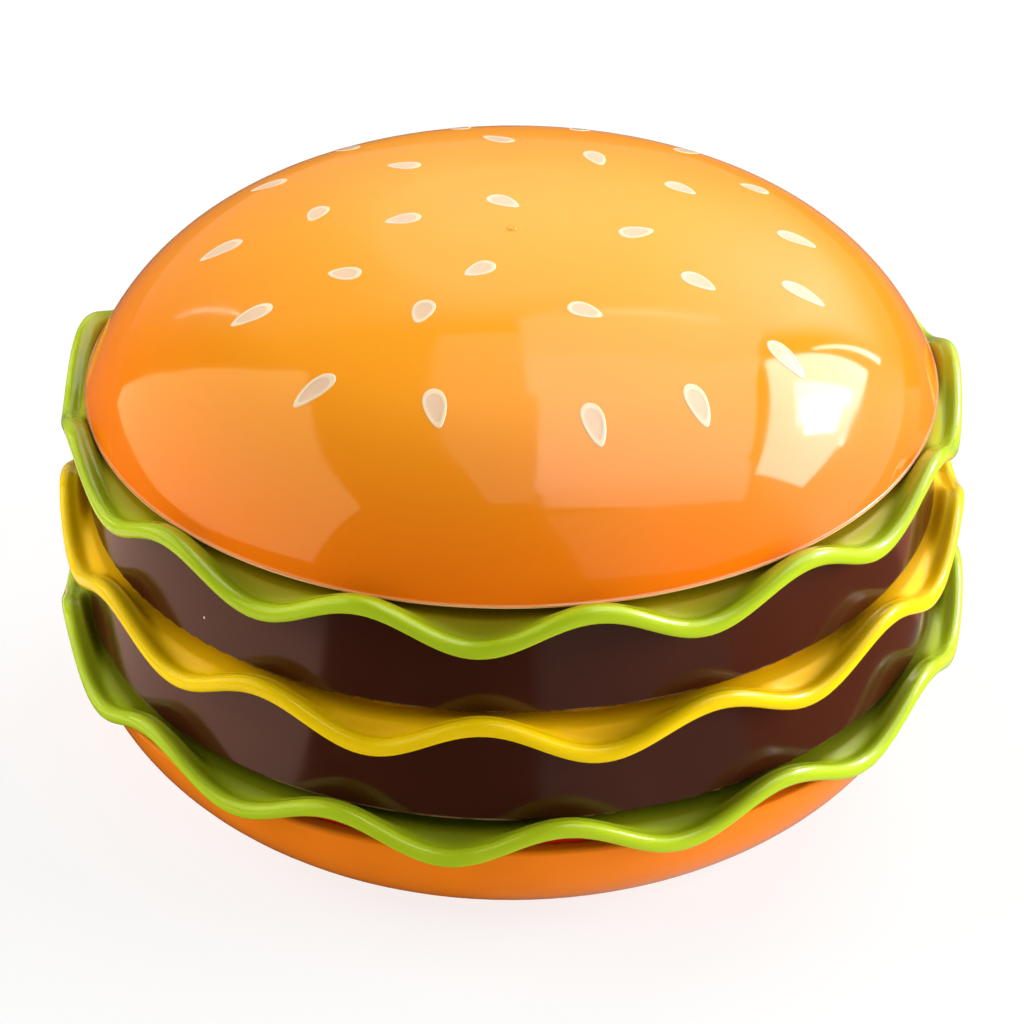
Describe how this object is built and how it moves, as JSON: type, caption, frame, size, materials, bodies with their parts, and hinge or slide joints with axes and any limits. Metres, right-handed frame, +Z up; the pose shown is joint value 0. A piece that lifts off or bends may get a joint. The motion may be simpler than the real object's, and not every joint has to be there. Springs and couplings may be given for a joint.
{
  "type": "hamburger-shaped corded telephone",
  "caption": "Corded telephone moulded as a stacked hamburger: a hinged upper half with the earpiece flips open over a lower half with push keys and a microphone.",
  "frame": {"origin": "on the surface that the feet stand on, below the middle of the round body", "axes": "+Z up through the bun, front towards -Y, hinge and line socket towards +Y, +X to the user's right"},
  "size_m": [0.1314, 0.1314, 0.0788],
  "materials": {
    "bun_orange": "glossy moulded plastic",
    "lettuce_green": "glossy moulded plastic",
    "patty_brown": "glossy moulded plastic",
    "cheese_yellow": "glossy moulded plastic",
    "tomato_red": "glossy moulded plastic",
    "key_white": "satin moulded plastic with printed numbers",
    "capsule_black": "satin moulded plastic",
    "black_rubber": "matt rubber",
    "mat_rubber": "translucent silicone rubber",
    "capsule_metal": "satin can",
    "board_green": "coated laminate",
    "ballast_iron": "rough casting",
    "screw_steel": "zinc-plated steel"
  },
  "bodies": {
    "base": {"bottom_bun": "bun_orange", "tomato_slice": "tomato_red", "lower_lettuce": "lettuce_green", "lower_patty": "patty_brown", "cheese_slice": "cheese_yellow", "keypad_deck": "patty_brown", "keypad_mat": "mat_rubber", "circuit_board": "board_green", "microphone": "capsule_metal", "microphone_boot": "black_rubber", "ringer_buzzer": "capsule_black", "line_jack": "capsule_black", "hook_switch": "capsule_black", "ringer_switch": "capsule_black", "tone_switch": "capsule_black", "ballast_plate": "ballast_iron", "rubber_feet": "black_rubber", "base_screws": "screw_steel", "board_screws": "screw_steel", "hinge_pin": "screw_steel"},
    "lid": {"top_bun": "bun_orange", "upper_lettuce": "lettuce_green", "upper_patty": "patty_brown", "ear_plate": "patty_brown", "receiver_capsule": "capsule_black", "receiver_gasket": "black_rubber", "lid_screws": "screw_steel"},
    "hook": {"hook_plunger": "key_white"},
    "ringer_knob": {"ringer_knob": "capsule_black"},
    "tone_knob": {"tone_knob": "capsule_black"},
    "key_1": {"key_1": "key_white"},
    "key_2": {"key_2": "key_white"},
    "key_3": {"key_3": "key_white"},
    "key_4": {"key_4": "key_white"},
    "key_5": {"key_5": "key_white"},
    "key_6": {"key_6": "key_white"},
    "key_7": {"key_7": "key_white"},
    "key_8": {"key_8": "key_white"},
    "key_9": {"key_9": "key_white"},
    "key_star": {"key_star": "key_white"},
    "key_0": {"key_0": "key_white"},
    "key_hash": {"key_hash": "key_white"},
    "key_redial": {"key_redial": "key_white"},
    "key_flash": {"key_flash": "key_white"}
  },
  "joints": [
    {"name": "lid_hinge", "type": "hinge", "parent": "base", "child": "lid", "pos_m": [0, 0.062, 0.042], "axis": [-1, 0, 0], "range_deg": [0, 130]},
    {"name": "hook_slide", "type": "slide", "parent": "base", "child": "hook", "axis": [0, 0, 1], "range_m": [0, 0.0025]},
    {"name": "ringer_knob_slide", "type": "slide", "parent": "base", "child": "ringer_knob", "axis": [0, 1, 0], "range_m": [0, 0.004]},
    {"name": "tone_knob_slide", "type": "slide", "parent": "base", "child": "tone_knob", "axis": [0, 1, 0], "range_m": [0, 0.004]},
    {"name": "key_1_press", "type": "slide", "parent": "base", "child": "key_1", "axis": [0, 0, -1], "range_m": [0, 0.0012], "stiffness_N_per_m": 500, "deforming": ["keypad_mat"]},
    {"name": "key_2_press", "type": "slide", "parent": "base", "child": "key_2", "axis": [0, 0, -1], "range_m": [0, 0.0012], "stiffness_N_per_m": 500, "deforming": ["keypad_mat"]},
    {"name": "key_3_press", "type": "slide", "parent": "base", "child": "key_3", "axis": [0, 0, -1], "range_m": [0, 0.0012], "stiffness_N_per_m": 500, "deforming": ["keypad_mat"]},
    {"name": "key_4_press", "type": "slide", "parent": "base", "child": "key_4", "axis": [0, 0, -1], "range_m": [0, 0.0012], "stiffness_N_per_m": 500, "deforming": ["keypad_mat"]},
    {"name": "key_5_press", "type": "slide", "parent": "base", "child": "key_5", "axis": [0, 0, -1], "range_m": [0, 0.0012], "stiffness_N_per_m": 500, "deforming": ["keypad_mat"]},
    {"name": "key_6_press", "type": "slide", "parent": "base", "child": "key_6", "axis": [0, 0, -1], "range_m": [0, 0.0012], "stiffness_N_per_m": 500, "deforming": ["keypad_mat"]},
    {"name": "key_7_press", "type": "slide", "parent": "base", "child": "key_7", "axis": [0, 0, -1], "range_m": [0, 0.0012], "stiffness_N_per_m": 500, "deforming": ["keypad_mat"]},
    {"name": "key_8_press", "type": "slide", "parent": "base", "child": "key_8", "axis": [0, 0, -1], "range_m": [0, 0.0012], "stiffness_N_per_m": 500, "deforming": ["keypad_mat"]},
    {"name": "key_9_press", "type": "slide", "parent": "base", "child": "key_9", "axis": [0, 0, -1], "range_m": [0, 0.0012], "stiffness_N_per_m": 500, "deforming": ["keypad_mat"]},
    {"name": "key_star_press", "type": "slide", "parent": "base", "child": "key_star", "axis": [0, 0, -1], "range_m": [0, 0.0012], "stiffness_N_per_m": 500, "deforming": ["keypad_mat"]},
    {"name": "key_0_press", "type": "slide", "parent": "base", "child": "key_0", "axis": [0, 0, -1], "range_m": [0, 0.0012], "stiffness_N_per_m": 500, "deforming": ["keypad_mat"]},
    {"name": "key_hash_press", "type": "slide", "parent": "base", "child": "key_hash", "axis": [0, 0, -1], "range_m": [0, 0.0012], "stiffness_N_per_m": 500, "deforming": ["keypad_mat"]},
    {"name": "key_redial_press", "type": "slide", "parent": "base", "child": "key_redial", "axis": [0, 0, -1], "range_m": [0, 0.0012], "stiffness_N_per_m": 500, "deforming": ["keypad_mat"]},
    {"name": "key_flash_press", "type": "slide", "parent": "base", "child": "key_flash", "axis": [0, 0, -1], "range_m": [0, 0.0012], "stiffness_N_per_m": 500, "deforming": ["keypad_mat"]}
  ],
  "couplings": [
    {"joint": "hook_slide", "follows": "lid_hinge", "m_per_rad": 0.0011}
  ]
}
